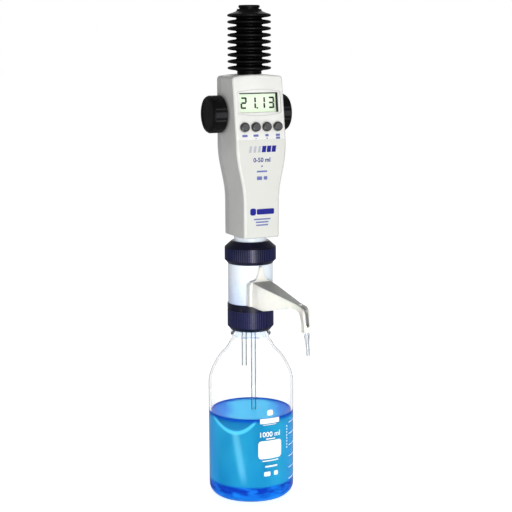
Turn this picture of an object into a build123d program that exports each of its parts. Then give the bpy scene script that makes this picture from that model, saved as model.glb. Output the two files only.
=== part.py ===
from build123d import *
import os
from math import atan2, cos, pi, radians, sin, sqrt, tan

os.makedirs("parts", exist_ok=True)

# Digital bottle-top burette on a 1000 ml GL45 bottle.
# Millimetres, +Z up, bottle base centre at the origin, display and nozzle towards -Y.

# Bottle and liquid
BOTTLE_R = 50.5
BOTTLE_WALL = 2.3
HEEL_R = 13.0
SHOULDER_Z = 136.0
MOUTH_Z = 225.0
MOUTH_R = 15.0
NECK_R = 20.4
THREAD_CREST_R = 22.3
THREAD_PITCH = 4.0
LIQUID_Z = 102.0
SHOULDER = [(49.0, 146.5), (44.2, 158.5), (35.0, 172.5), (25.4, 185.5)]

# Tubes
TUBE_R = 3.0
TUBE_BORE = 2.1
FILL_X = 3.5
FILL_END_Z = 100.0
RETURN_X = -8.5
RETURN_END_Z = 157.0

# Valve block and nuts
BLOCK_R = 26.4
BLOCK_Z = 233.7
BLOCK_TOP = 280.6
SEAT_Z = 285.0
SPIGOT_R = 24.0
SPIGOT_TOP = 296.0
STEM_R = 20.0
LOW_NUT_R = 27.3
LOW_NUT_Z = 201.3
LOW_NUT_TOP = 233.5
TOP_NUT_R = 30.2
TOP_NUT_Z = 280.8
TOP_NUT_TOP = 307.2
RIB_COUNT = 72
BALL_R = 2.5
BALL_SEAT_R = 1.9
INLET_SEAT_Z = 241.0
OUTLET_SEAT_Z = 249.5
OUTLET_Y = -14.0

# Nozzle
ARM_ROOT_Y = -31.0
TUBE_IN_ARM_R = 2.0
TIP_R = 2.1
TIP_LONG = 25.0
TIP_TILT = 10.0
NOZZLE_END = (-142.4, 225.0)
NOZZLE_HALF = 4.4
ARM_HALF = 12.0
SLOT_HALF = 2.1

# Piston and cylinder
CYL_R = 17.5
BORE_R = 15.0
CYL_TOP = 385.0
PISTON_Z = 326.8
PISTON_TOP = 340.0

# Head
HEAD_Z = 313.3
HEAD_TOP = 500.0
HEAD_EDGE_TOP = 497.6
NARROW_X = 22.3
WIDE_X = 31.3
TAPER_LOW = 354.0
TAPER_HIGH = 420.0
FRONT_Y = -32.5
BACK_Y = 23.5
LEAN_Z = 424.0
LEAN = 7.5
WALL = 2.5
SEAM_Y = 11.0

# Display and buttons
LCD_W = 48.0
LCD_H = 22.5
LCD_Z = 468.5
BEZEL_W = 54.5
BEZEL_H = 30.5
BEZEL_BOW = 3.0
DIGIT_H = 13.2
DIGIT_PITCH = 11.5
FIRST_DIGIT_X = -18.0
BUTTON_R = 5.15
BUTTON_PITCH = 13.8
BUTTON_Z = 441.0
BUTTON_PROUD = 4.4

# Drive
SHAFT_Y = 8.5
SHAFT_Z = 454.5
SHAFT_R = 3.0
SHAFT_INNER_R = 2.0
LAY_Z = 440.5
LAY_R = 2.5
PINION_TEETH = 12
GEAR_TEETH = 44
GEAR_MODULE = 0.5
RACK_MODULE = 1.0
RACK_LINE_Y = 2.5
RACK_LOW = 404.0
RACK_HIGH = 488.0
ROD_X = 5.0
ROD_Y = -5.0
ROD_TOP = 574.5
WHEEL_R = 21.5
WHEEL_IN = 34.0
WHEEL_OUT = 50.0

# Bellows
BELLOWS_Z = 500.0
BELLOWS_TOP = 573.2
FOLD_R = 25.0
VALLEY_R = 14.6
FOLDS = 9
LOW_FOLD_Z = 506.8
HIGH_FOLD_Z = 566.2
CAP_R = 12.2
CAP_TOP = 577.6

LEAN_TAN = tan(radians(LEAN))
SLEEVE_R = 19.0


def save(name, shape):
    export_step(shape, "parts/" + name + ".step")


def turned(points):
    """Solid of revolution about Z from (radius, z) points."""
    return revolve(Plane.XZ * make_face(Polyline(*points, close=True)), axis=Axis.Z)


def ring(r_in, r_out, z_low, z_high):
    return turned([(r_in, z_low), (r_out, z_low), (r_out, z_high), (r_in, z_high)])


def disc(radius, z_low, z_high, x=0.0, y=0.0):
    return Pos(x, y, (z_low + z_high) / 2) * Cylinder(radius, z_high - z_low)


def block(x0, x1, y0, y1, z0, z1):
    centre = Pos((x0 + x1) / 2, (y0 + y1) / 2, (z0 + z1) / 2)
    return centre * Box(x1 - x0, y1 - y0, z1 - z0)


def rod_x(radius, x_low, x_high, y, z):
    """Cylinder along X."""
    return Pos((x_low + x_high) / 2, y, z) * Rot(0, 90, 0) * Cylinder(radius, x_high - x_low)


def rod_y(radius, y_low, y_high, x, z):
    """Cylinder along Y."""
    return Pos(x, (y_low + y_high) / 2, z) * Rot(90, 0, 0) * Cylinder(radius, y_high - y_low)


def inward(points, wall):
    """Points moved into the body by the wall thickness, square to the curve."""
    moved = []
    for i in range(1, len(points) - 1):
        dr = points[i + 1][0] - points[i - 1][0]
        dz = points[i + 1][1] - points[i - 1][1]
        length = sqrt(dr * dr + dz * dz)
        moved.append((points[i][0] - wall * dz / length, points[i][1] + wall * dr / length))
    return moved


def thread_ridge(radius, root_half, crest_half, depth, z_low, turns):
    """Helical ridge with its root at the radius; negative depth points inwards."""
    path = Helix(pitch=THREAD_PITCH, height=THREAD_PITCH * turns, radius=radius)
    plane = Plane(origin=path @ 0, x_dir=(1, 0, 0), z_dir=path % 0)
    sink = -0.25 if depth > 0 else 0.25
    outline = [(sink, -root_half), (depth, -crest_half), (depth, crest_half), (sink, root_half)]
    section = make_face(Polyline(*outline, close=True))
    return Pos(0, 0, z_low) * sweep(plane * section, path=path, is_frenet=True)


# ---------------------------------------------------------------- bottle and liquid

def shoulder_curve(points):
    return Spline(*points, tangents=((0, 1), (-0.35, 0.94)))


def bottle_section(inset, neck_points):
    """Half section of the bottle, inset from its outer surface."""
    wall_r = BOTTLE_R - inset
    base_z = inset
    heel = HEEL_R - inset
    run = [(BOTTLE_R, SHOULDER_Z)] + SHOULDER + [(21.5, 191.5)]
    shoulder = SHOULDER if inset == 0 else inward(run, inset)
    mid = heel * (1 - cos(pi / 4))
    base = Line((0, base_z), (BOTTLE_R - HEEL_R, base_z))
    corner = ThreePointArc(base @ 1, (wall_r - mid, base_z + mid), (wall_r, base_z + heel))
    side = Line(corner @ 1, (wall_r, SHOULDER_Z))
    top = shoulder_curve([side @ 1] + shoulder)
    neck = Polyline(top @ 1, *neck_points)
    close = Polyline(neck @ 1, (0, neck_points[-1][1]), base @ 0)
    return make_face(base + corner + side + top + neck + close)


bead = [
    (22.8, 188.9), (21.5, 191.4), (21.2, 193.2), (22.8, 194.0), (23.9, 195.5), (23.6, 197.4), (22.2, 198.8),
    (NECK_R, 199.7)]
lip = [(NECK_R, MOUTH_Z - 1.0), (NECK_R - 1.0, MOUTH_Z)]
inner_neck = [(19.2, 190.0), (16.4, 196.0), (MOUTH_R, 202.0), (MOUTH_R, MOUTH_Z + 5)]
outside = revolve(Plane.XZ * bottle_section(0, bead + lip), axis=Axis.Z)
inside = revolve(Plane.XZ * bottle_section(BOTTLE_WALL, inner_neck), axis=Axis.Z)
neck_thread = thread_ridge(NECK_R, 1.1, 0.5, THREAD_CREST_R - NECK_R, 204.5, 3.25)
bottle = (outside - inside) + neck_thread
save("bottle", bottle)

liquid_space = revolve(Plane.XZ * bottle_section(BOTTLE_WALL + 0.05, inner_neck), axis=Axis.Z)
reagent = liquid_space & disc(BOTTLE_R, 0, LIQUID_Z)
reagent = reagent - disc(TUBE_R + 0.1, FILL_END_Z - 0.1, LIQUID_Z + 1, x=FILL_X)
save("reagent", reagent)

# ---------------------------------------------------------------- valve block

save("filling_tube", disc(TUBE_R, FILL_END_Z, 226, x=FILL_X) - disc(TUBE_BORE, 99, 227, x=FILL_X))
save("return_tube", disc(TUBE_R, RETURN_END_Z, 226, x=RETURN_X) - disc(TUBE_BORE, 156, 227, x=RETURN_X))
save("bottle_seal", ring(MOUTH_R + 0.2, 21.8, MOUTH_Z + 0.02, 226.5))

core = turned([
    (0, 216), (13.6, 216), (14.3, 216.7), (14.3, 226.5), (22, 226.5), (22, 229.5), (STEM_R, 229.5),
    (STEM_R, BLOCK_Z), (BLOCK_R, BLOCK_Z), (BLOCK_R, BLOCK_TOP), (SPIGOT_R, BLOCK_TOP),
    (SPIGOT_R, SPIGOT_TOP), (CYL_R + 0.08, SPIGOT_TOP), (CYL_R + 0.08, SEAT_Z), (0, SEAT_Z)])
front_pad = block(-13.5, 13.5, -28.0, 0, 234.5, 262.0)
core = core + front_pad
core = core - ring(CYL_R, 19.4, 289.0, 291.0)
core = core - disc(TUBE_R, 215, 226, x=FILL_X) - disc(TUBE_R, 215, 226, x=RETURN_X)
core = core - disc(BALL_SEAT_R, 226, INLET_SEAT_Z, x=FILL_X)
core = core - disc(3.4, INLET_SEAT_Z, 262, x=FILL_X) - disc(2.2, 260, SEAT_Z + 1, x=0)
core = core - rod_y(1.6, OUTLET_Y - 1.5, 0, FILL_X * 0.6, 246.6)
core = core - disc(BALL_SEAT_R, 245.2, OUTLET_SEAT_Z, y=OUTLET_Y)
core = core - disc(3.4, OUTLET_SEAT_Z, 258.5, y=OUTLET_Y)
core = core - disc(BALL_SEAT_R, 226, 238, x=RETURN_X)
core = core - rod_y(TUBE_IN_ARM_R, -29, OUTLET_Y, 0, 254.5)
save("valve_block", core)

seat_rise = sqrt(BALL_R ** 2 - BALL_SEAT_R ** 2) + 0.02
save("inlet_ball", Pos(FILL_X, 0, INLET_SEAT_Z + seat_rise) * Sphere(BALL_R))
save("outlet_ball", Pos(0, OUTLET_Y, OUTLET_SEAT_Z + seat_rise) * Sphere(BALL_R))
save("cylinder_seal", Pos(0, 0, 290.0) * Torus(18.42, 0.88))


def ribs(radius, z_low, z_high, depth):
    """Ring of vertical grip ribs standing on a cylinder."""
    rib = block(radius - 0.6, radius + depth, -0.55, 0.55, z_low, z_high)
    return [Rot(0, 0, 360 * i / RIB_COUNT) * rib for i in range(RIB_COUNT)]


low_nut = turned([
    (23.0, LOW_NUT_Z), (23.6, LOW_NUT_Z), (LOW_NUT_R - 0.7, LOW_NUT_Z + 4), (LOW_NUT_R - 0.7, 225),
    (LOW_NUT_R, 225.4), (LOW_NUT_R, LOW_NUT_TOP - 0.5), (LOW_NUT_R - 0.5, LOW_NUT_TOP),
    (STEM_R + 0.3, LOW_NUT_TOP), (STEM_R + 0.3, 229.8), (23.0, 229.8)])
low_nut = low_nut + ribs(LOW_NUT_R - 0.7, LOW_NUT_Z + 4.4, 225.2, 0.7)
nut_thread = thread_ridge(23.0, 0.75, 0.4, -1.7, 206.5, 2.25)
save("mounting_nut", low_nut + nut_thread)

top_nut = turned([
    (SPIGOT_R + 0.3, TOP_NUT_Z), (BLOCK_R, TOP_NUT_Z), (TOP_NUT_R - 0.7, 284.7), (TOP_NUT_R - 0.7, 299),
    (TOP_NUT_R, 299.2), (TOP_NUT_R, 299.9), (22.4, TOP_NUT_TOP - 0.4), (21.7, TOP_NUT_TOP),
    (SLEEVE_R + 0.3, TOP_NUT_TOP), (SLEEVE_R + 0.3, 299.5), (SPIGOT_R + 0.3, 299.5)])
save("coupling_nut", top_nut + ribs(TOP_NUT_R - 0.7, 284.9, 299.1, 0.7))

# ---------------------------------------------------------------- nozzle

base_line = Line((-15.5, 233.9), (15.5, 233.9))
side_r = Line((15.5, 233.9), (15.5, 256.5))
knee_r = ThreePointArc((15.5, 256.5), (13.6, 261.5), (9.5, 263.8))
ogee_r = Spline((9.5, 263.8), (2.6, 277.5), tangents=((-1, 0.25), (-0.3, 1)))
peak = ThreePointArc((2.6, 277.5), (0, 280.0), (-2.6, 277.5))
ogee_l = mirror(ogee_r, about=Plane.YZ)
knee_l = mirror(knee_r, about=Plane.YZ)
side_l = mirror(side_r, about=Plane.YZ)
flange_outline = base_line + side_r + knee_r + ogee_r + peak + ogee_l + knee_l + side_l
flange = extrude(Plane.XZ * make_face(flange_outline), amount=-ARM_ROOT_Y)
flange = fillet(flange.faces().sort_by(Axis.Y)[0].edges(), 1.2)

tilt = radians(TIP_TILT)
down = (-sin(tilt), -cos(tilt))
out = (-cos(tilt), sin(tilt))
end_y, end_z = NOZZLE_END


def nozzle_point(along, across):
    """(Y, Z) a distance up the nozzle from its end, and across it."""
    return (end_y - down[0] * along + out[0] * across, end_z - down[1] * along + out[1] * across)


top_bend, low_bend, low_root = (-141.9, 252.2), (-134.3, 246.3), (-55.0, 232.9)
arm_outline = [
    (-29.0, 232.9), (-29.0, 262.5), (-33.0, 262.4), top_bend, nozzle_point(0, NOZZLE_HALF),
    nozzle_point(0, -NOZZLE_HALF), low_bend, (-117.0, 246.8), low_root]
arm_side = make_face(Polyline(*arm_outline, close=True))
for point, radius in ((top_bend, 12.0), (low_bend, 12.0), (low_root, 12.0)):
    vertex = arm_side.vertices().sort_by_distance((point[0], point[1], 0))[0]
    arm_side = fillet(vertex, radius)
arm_slab = extrude(Plane.YZ * arm_side, amount=20, both=True)
plan_right = [(ARM_HALF, -28.0), (ARM_HALF, -46.0), (NOZZLE_HALF, -120.0), (NOZZLE_HALF, -160.0)]
plan_left = [(-x, y) for x, y in reversed(plan_right)]
arm_column = extrude(make_face(Polyline(*plan_right, *plan_left, close=True)), amount=400, both=True)
arm = arm_slab & arm_column
long_edges = [e for e in arm.edges() if abs(e.center().X) > 3.5 and e.center().Y < -30 and e.length > 6]
arm = fillet(long_edges, 1.4)
slot_outline = [
    nozzle_point(7.6, 0), nozzle_point(7.6, 12), (-156.0, 262.0), (-126.5, 262.0), (-127.5, 251.0),
    nozzle_point(24, 0)]
slot = extrude(Plane.YZ * make_face(Polyline(*slot_outline, close=True)), amount=SLOT_HALF, both=True)
slot_foot = nozzle_point(7.6, 6)
slot_round = Pos(0, slot_foot[0], slot_foot[1]) * Rot(90 - TIP_TILT, 0, 0) * Cylinder(SLOT_HALF, 12)
arm = arm - slot - slot_round


def arm_path(extra):
    """Centre line of the tube through the arm, its straight start made longer by the extra."""
    slope = (254.5 - 253.2) / (60.0 - 28.0)
    return FilletPolyline(
        (0, -28.0 + extra, 254.5 + slope * extra), (0, -60.0, 253.2), (0,) + nozzle_point(24.9, 0),
        (0,) + nozzle_point(8.6, 0), radius=9)


def tube_along(path, radius):
    return sweep(Plane(origin=path @ 0, z_dir=path % 0) * Circle(radius), path=path)


discharge_tube = tube_along(arm_path(0), TUBE_IN_ARM_R)
tube_hole = tube_along(arm_path(0), 1.2)
tube_room = tube_along(arm_path(6.0), TUBE_IN_ARM_R + 0.03)
save("discharge_tube", discharge_tube - tube_hole)

tip_plane = Plane(
    origin=(0, end_y, end_z), x_dir=(1, 0, 0), z_dir=(0, down[0], down[1]))
tip_section = make_face(Polyline(
    (1.0, -8.5), (3.3, -8.5), (3.3, 0.5), (3.2, 3.0), (2.3, 10.0), (TIP_R, 11.5), (TIP_R, TIP_LONG - 0.2),
    (TIP_R - 0.2, TIP_LONG), (1.0, TIP_LONG), close=True))
tip_local = revolve(Plane.XZ * tip_section, axis=Axis.Z)
save("discharge_tip", tip_plane.location * tip_local)
tip_socket = tip_plane.location * (Pos(0, 0, -3.75) * Cylinder(3.32, 10.5))
pad_room = block(-13.6, 13.6, -28.05, 0, 230, 262.1)
flange = flange - disc(BLOCK_R + 0.02, 230, 285)
flange = flange - pad_room
save("nozzle_arm", (arm - tip_socket + flange) - tube_room)

# ---------------------------------------------------------------- cylinder and piston

save("glass_cylinder", ring(BORE_R, CYL_R, SEAT_Z + 0.05, CYL_TOP))
cap = ring(0, 20.0, 383.0, 391.0) - disc(CYL_R + 0.02, 382, CYL_TOP)
cap = cap - block(-5.3, 5.3, -5.3, 3.7, 380, 395)
save("cylinder_cap", cap)
sleeve = turned([
    (CYL_R + 0.2, SPIGOT_TOP + 0.4), (23.4, SPIGOT_TOP + 0.4), (23.4, 299.2), (SLEEVE_R, 299.2),
    (SLEEVE_R, 321.0), (CYL_R + 0.2, 321.0)])
save("neck_sleeve", sleeve)

piston = disc(BORE_R - 0.05, PISTON_Z, PISTON_TOP) - ring(12.1, 16.0, 331.1, 334.1)
piston = piston - disc(3.0, 334.5, PISTON_TOP + 1)
save("piston", fillet(piston.edges().sort_by(Axis.Z)[0], 0.8))
save("piston_seal", Pos(0, 0, 332.6) * Torus(13.55, 1.42))

# ---------------------------------------------------------------- head shell


def front_at(z):
    """Y of the outer front face at a height."""
    return FRONT_Y + max(0.0, z - LEAN_Z) * LEAN_TAN


def head_body(inset, edge_radius):
    """Outer body of the head, moved inwards by the inset."""
    low = HEAD_Z + inset
    narrow, wide = NARROW_X - inset, WIDE_X - inset
    edge_top, top = HEAD_EDGE_TOP - inset, HEAD_TOP - inset
    corner = max(4.5 - inset, 1.0)
    side = Line((narrow, low), (narrow, TAPER_LOW))
    taper = Spline(side @ 1, (wide, TAPER_HIGH), tangents=((0, 1), (0, 1)))
    upper = Line(taper @ 1, (wide, edge_top))
    arch = ThreePointArc(upper @ 1, (0, top), (-wide, edge_top))
    left = [mirror(curve, about=Plane.YZ) for curve in (upper, taper, side)]
    bottom = Line((-narrow, low), (narrow, low))
    face = make_face(side + taper + upper + arch + left[0] + left[1] + left[2] + bottom)
    for x in (-wide, wide):
        face = fillet(face.vertices().sort_by_distance((x, edge_top, 0))[0], corner)
    for x in (-narrow, narrow):
        face = fillet(face.vertices().sort_by_distance((x, low, 0))[0], 2.0)
    slab = extrude(Plane.XZ * face, amount=60, both=True)
    shift = inset / cos(radians(LEAN))
    front_top = FRONT_Y + shift + (520 - LEAN_Z) * LEAN_TAN
    front_low = FRONT_Y + inset
    profile = make_face(Polyline(
        (front_low, 300), (front_low, LEAN_Z), (front_top, 520), (BACK_Y - inset, 520),
        (BACK_Y - inset, 300), close=True))
    profile = fillet(profile.vertices().sort_by_distance((front_low, LEAN_Z, 0))[0], 60)
    body = slab & extrude(Plane.YZ * profile, amount=60, both=True)
    if edge_radius > 0:
        side_edges = []
        for edge in body.edges():
            at = edge.center()
            on_end = at.Y < front_at(at.Z) + inset + 1 or at.Y > BACK_Y - inset - 1
            if abs(at.X) > 15 and abs(at.Z - low) >= 0.5 and on_end:
                side_edges.append(edge)
        body = fillet(side_edges, edge_radius)
    return body


outer = head_body(0, 3.0)
inner = head_body(WALL, 0)
seam_groove = (outer - head_body(0.45, 2.6)) & block(-40, 40, SEAM_Y - 0.35, SEAM_Y + 0.35, 300, 520)
shell = outer - inner - seam_groove

normal = (0, -cos(radians(LEAN)), sin(radians(LEAN)))


def face_plane(z):
    """Plane on the leaning front face, x to the right, y up the face, z outwards."""
    return Plane(origin=(0, front_at(z), z), x_dir=(1, 0, 0), z_dir=normal)


lcd_plane = face_plane(LCD_Z)
button_plane = face_plane(BUTTON_Z)


def arched(width, height, bow):
    """Rectangle with bowed top and bottom edges."""
    x, y = width / 2, height / 2
    low = ThreePointArc((-x, -y + bow), (0, -y), (x, -y + bow))
    right = Line((x, -y + bow), (x, y - bow))
    high = ThreePointArc((x, y - bow), (0, y), (-x, y - bow))
    left = Line((-x, y - bow), (-x, -y + bow))
    face = make_face(low + right + high + left)
    return fillet(face.vertices(), 1.5)


def on_face(plane, sketch, start, depth):
    """Prism on the face plane from a start height, running inwards by the depth."""
    return plane.location * (Pos(0, 0, start - depth) * extrude(sketch, amount=depth))


bezel = on_face(lcd_plane, arched(BEZEL_W, BEZEL_H, BEZEL_BOW), 2.0, 3.2)
lcd_hole = on_face(lcd_plane, Rectangle(LCD_W, LCD_H), 2.0, 8.0)
button_xs = [(i - 1.5) * BUTTON_PITCH for i in range(4)]
button_holes = [
    on_face(button_plane, Pos(x, 0) * Circle(BUTTON_R + 0.15), 3.0, 8.0) for x in button_xs]

shaft_hole = rod_x(6.0, -40, 40, SHAFT_Y, SHAFT_Z)
sleeve_hole = disc(SLEEVE_R + 0.02, 305, 325)
bellows_hole = disc(11.5, 480, 510)
SCREWS = [(-24.0, 487.0), (24.0, 487.0), (-24.0, 431.0), (24.0, 431.0)]
front_posts = [
    block(x - 3, x + 3, front_at(z) + 1.0, SEAM_Y, z - 3, z + 3) & outer for x, z in SCREWS]
rear_posts = [rod_y(3.0, SEAM_Y, BACK_Y - 1, x, z) for x, z in SCREWS]
screw_pilot = [rod_y(1.25, 0, SEAM_Y + 0.5, x, z) for x, z in SCREWS]
screw_room = [rod_y(1.5, SEAM_Y - 0.5, BACK_Y + 1, x, z) for x, z in SCREWS]
screw_heads = [rod_y(2.6, 16.0, BACK_Y + 1, x, z) for x, z in SCREWS]

front = (shell & block(-60, 60, -60, SEAM_Y, 300, 520)) + front_posts
front = front - bezel - lcd_hole - button_holes - shaft_hole - sleeve_hole - bellows_hole - screw_pilot
save("front_housing", front)

cover_room = block(-24.0, 24.0, 20, BACK_Y + 2, 393.0, 421.0)
rear = (shell & block(-60, 60, SEAM_Y, 60, 300, 520)) + rear_posts
rear = rear - shaft_hole - sleeve_hole - bellows_hole - screw_room - screw_heads - cover_room
save("rear_housing", rear)

screws = []
for x, z in SCREWS:
    drive_slot = block(x - 0.4, x + 0.4, 17.2, 19, z - 1.8, z + 1.8)
    screw_head = rod_y(2.4, 16.0, 18.2, x, z) - drive_slot
    screws.append(rod_y(1.25, 3.0, 16.0, x, z) + screw_head)
save("housing_screws", Compound(children=[s.solid() for s in screws]))

cover = block(-23.9, 23.9, BACK_Y - WALL, BACK_Y, 393.1, 420.9)
cover = fillet(cover.edges().filter_by(Axis.Y), 0.08)
cover_grip = [block(-8, 8, BACK_Y - 0.8, BACK_Y + 1, z, z + 1.2) for z in (414.0, 416.2, 418.4)]
cover_hooks = [block(x - 3, x + 3, 19.2, BACK_Y - WALL + 0.5, 395, 397) for x in (-15, 15)]
save("battery_cover", (cover - cover_grip) + cover_hooks)

# ---------------------------------------------------------------- display, buttons, electronics

window_outline = RectangleRounded(LCD_W + 4, LCD_H + 3.4, 1.0)
save("display_window", on_face(lcd_plane, window_outline, -WALL - 0.02, 1.2))
module_face = on_face(lcd_plane, Rectangle(LCD_W + 6, LCD_H + 6), -WALL - 1.6, 3.6)
save("display_module", module_face)


def digit(segments, x_centre):
    """Seven-segment figure; a segment is its column (-1, 0, 1) and its row (-2 low to 2 high)."""
    half_w, half_h, thick, gap = 3.8, DIGIT_H / 2, 1.95, 0.12
    upright = half_h - thick / 2 - 2 * gap
    flat = 2 * half_w - thick - 2 * gap
    bars = []
    for column, row in segments:
        x = column * (half_w - thick / 2)
        y = row / 2 * (half_h - thick / 2) if column == 0 else row / 2 * half_h
        width, height = (flat, thick) if column == 0 else (thick, upright)
        slant = 0.04 * y
        bars.append(Pos(x_centre + x + slant, y) * Rectangle(width, height))
    return bars


TWO = ((0, 2), (1, 1), (0, 0), (-1, -1), (0, -2))
ONE = ((1, 1), (1, -1))
THREE = ((0, 2), (1, 1), (0, 0), (1, -1), (0, -2))
figures = []
for place, segments in enumerate((TWO, ONE, ONE, THREE)):
    figures += digit(segments, FIRST_DIGIT_X + place * DIGIT_PITCH)
figures.append(Pos(FIRST_DIGIT_X + DIGIT_PITCH + 5.2, 0.9 - DIGIT_H / 2) * Rectangle(1.8, 1.8))
bars = [on_face(lcd_plane, f, -WALL - 1.4, 0.2) for f in figures]
save("display_digits", Compound(children=[b.solid() for b in bars]))

board = on_face(lcd_plane, Pos(0, -14.2) * Rectangle(42, 50), -WALL - 5.25, 1.6)
switches = [on_face(button_plane, Pos(x, 0) * Rectangle(6, 6), -5.2, 2.65) for x in button_xs]
save("circuit_board", board + switches)

BUTTON_NAMES = ["view_button", "minus_button", "plus_button", "reset_button"]
button_shape = turned([
    (0, BUTTON_PROUD), (BUTTON_R - 1.1, BUTTON_PROUD), (BUTTON_R - 0.3, BUTTON_PROUD - 0.3),
    (BUTTON_R, BUTTON_PROUD - 1.0), (BUTTON_R, -WALL - 0.05), (BUTTON_R + 0.9, -WALL - 0.05),
    (BUTTON_R + 0.9, -WALL - 1.25), (0, -WALL - 1.25)])
for name, x in zip(BUTTON_NAMES, button_xs):
    save(name, button_plane.location * (Pos(x, 0, 0) * button_shape))

cells = [rod_x(5.25, -22.0, 22.0, 13.6, z) + rod_x(1.9, 22.0, 22.8, 13.6, z) for z in (401.0, 413.0)]
save("batteries", Compound(children=[c.solid() for c in cells]))
tray = block(-25.2, 25.2, 6.2, 20.8, 394.6, 419.4) - block(-23.6, 23.6, 7.9, 21, 395.0, 419.0)
save("battery_tray", tray)
springs = [block(-23.5, -22.05, 10, 17, z - 4, z + 4) for z in (401.0, 413.0)]
springs = springs + [block(22.85, 23.5, 10, 17, z - 4, z + 4) for z in (401.0, 413.0)]
save("battery_contacts", Compound(children=[s.solid() for s in springs]))

# ---------------------------------------------------------------- drive train


def gear(teeth, module, x_low, x_high, y, z, bore, addendum, phase):
    """Spur gear about an X axis; phase is the angle of one tooth's centre from +Z, in degrees."""
    pitch = teeth * module / 2
    base = pitch * cos(radians(20))
    tip = pitch + addendum * module
    root = pitch - 1.25 * module
    half = pi / (2 * teeth) - 0.06 / pitch
    at_pitch = tan(radians(20)) - radians(20)
    steps = 4
    flank = []
    for i in range(steps + 1):
        radius = max(base, root) + (tip - max(base, root)) * i / steps
        roll = sqrt(max(radius ** 2 / base ** 2 - 1, 0))
        spread = half + at_pitch - (roll - atan2(roll, 1))
        flank.append((radius, spread))
    points = []
    for tooth in range(teeth):
        centre = radians(phase) + 2 * pi * tooth / teeth
        side_a = [(root, flank[0][1])] + flank if base > root else flank
        for radius, spread in side_a:
            points.append((radius * sin(centre - spread), radius * cos(centre - spread)))
        for radius, spread in reversed(side_a):
            points.append((radius * sin(centre + spread), radius * cos(centre + spread)))
    face = make_face(Polyline(*points, close=True))
    solid = extrude(Plane.YZ * face, amount=x_high - x_low)
    return (Pos(x_low, y, z) * solid) - rod_x(bore, x_low - 1, x_high + 1, y, z)


PINION_PHASE = 180 + 360 / PINION_TEETH / 2
save("shaft_pinion", gear(
    PINION_TEETH, GEAR_MODULE, 12.5, 17.5, SHAFT_Y, SHAFT_Z, SHAFT_INNER_R, 1.0, PINION_PHASE))
drive_gear = gear(GEAR_TEETH, GEAR_MODULE, 13.0, 17.0, SHAFT_Y, LAY_Z, LAY_R, 0.7, 0)
hub = rod_x(4.5, 11.4, 13.0, SHAFT_Y, LAY_Z) - rod_x(LAY_R, 11, 18, SHAFT_Y, LAY_Z)
lightening = []
for i in range(6):
    around = 2 * pi * i / 6
    lightening.append(rod_x(1.9, 12, 18, SHAFT_Y + 7.2 * sin(around), LAY_Z + 7.2 * cos(around)))
save("drive_gear", (drive_gear + hub) - lightening)
save("rack_pinion", gear(
    PINION_TEETH, RACK_MODULE, -4.0, 4.0, SHAFT_Y, LAY_Z, LAY_R, 0.9, -90 + 360 / PINION_TEETH / 2))
layshaft = rod_x(LAY_R, -12.6, 18.4, SHAFT_Y, LAY_Z) + rod_x(4.0, -12.9, -11.4, SHAFT_Y, LAY_Z)
save("layshaft", layshaft)

shaft = rod_x(SHAFT_INNER_R, -20, 20, SHAFT_Y, SHAFT_Z)
shaft = shaft + rod_x(SHAFT_R, -47, -19.5, SHAFT_Y, SHAFT_Z) + rod_x(SHAFT_R, 19.5, 47, SHAFT_Y, SHAFT_Z)
save("handwheel_shaft", shaft)

for name, side in (("left_bush", -1), ("right_bush", 1)):
    barrel = rod_x(5.98, min(side * 27, side * 32), max(side * 27, side * 32), SHAFT_Y, SHAFT_Z)
    collar = rod_x(8.0, min(side * 31.35, side * 33.6), max(side * 31.35, side * 33.6), SHAFT_Y, SHAFT_Z)
    bush = barrel + collar - rod_x(SHAFT_R + 0.05, -40, 40, SHAFT_Y, SHAFT_Z)
    save(name, bush)


def handwheel(side):
    """Knurled hand wheel with groups of three grip ribs, drawn along +Z and turned to the side."""
    body = turned([
        (0, 0), (9.0, 0), (9.0, -1.4), (20.2, -1.4), (21.0, -0.6), (21.0, 13.6), (20.2, 15.0), (18.4, 15.7),
        (15.6, 16.0), (14.6, 15.3), (0, 15.3)])
    pads = []
    for group in range(4):
        for offset, half_width in ((-18, 0.8), (0, 3.0), (18, 0.8)):
            pad = block(20.0, WHEEL_R, -half_width, half_width, -0.6, 13.8)
            pads.append(Rot(0, 0, 90 * group + offset) * pad)
    crown = turned([
        (0, -0.8), (WHEEL_R - 0.3, -0.8), (WHEEL_R, -0.3), (WHEEL_R, 13.0), (WHEEL_R - 0.9, 14.3), (0, 14.3)])
    grips = [pad & crown for pad in pads]
    wheel = (body + grips) - disc(SHAFT_R, -1, WHEEL_OUT - WHEEL_IN - 3)
    return Pos(side * WHEEL_IN, SHAFT_Y, SHAFT_Z) * Rot(0, 90 * side, 0) * wheel


save("left_handwheel", handwheel(-1))
save("right_handwheel", handwheel(1))

rod = block(-ROD_X, ROD_X, ROD_Y, RACK_LINE_Y - 1.25, PISTON_TOP, ROD_TOP)
pitch = pi * RACK_MODULE
slope = tan(radians(20))
tooth_half = pitch / 4 - 0.06
first = -int((LAY_Z - RACK_LOW) / pitch)
last = int((RACK_HIGH - LAY_Z) / pitch)
root_y, crest_y = RACK_LINE_Y - 1.25, RACK_LINE_Y + 0.7
root_half = tooth_half + 1.25 * slope
crest_half = tooth_half - 0.7 * slope
for number in range(first, last + 1):
    z = LAY_Z + number * pitch
    outline = [
        (root_y - 0.25, z - root_half), (root_y, z - root_half), (crest_y, z - crest_half),
        (crest_y, z + crest_half), (root_y, z + root_half), (root_y - 0.25, z + root_half)]
    tooth = extrude(Plane.YZ * make_face(Polyline(*outline, close=True)), amount=4.0, both=True)
    rod = rod + tooth
rod = rod + disc(3.0, 334.6, PISTON_TOP + 1)
save("rack_rod", rod)

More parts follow.
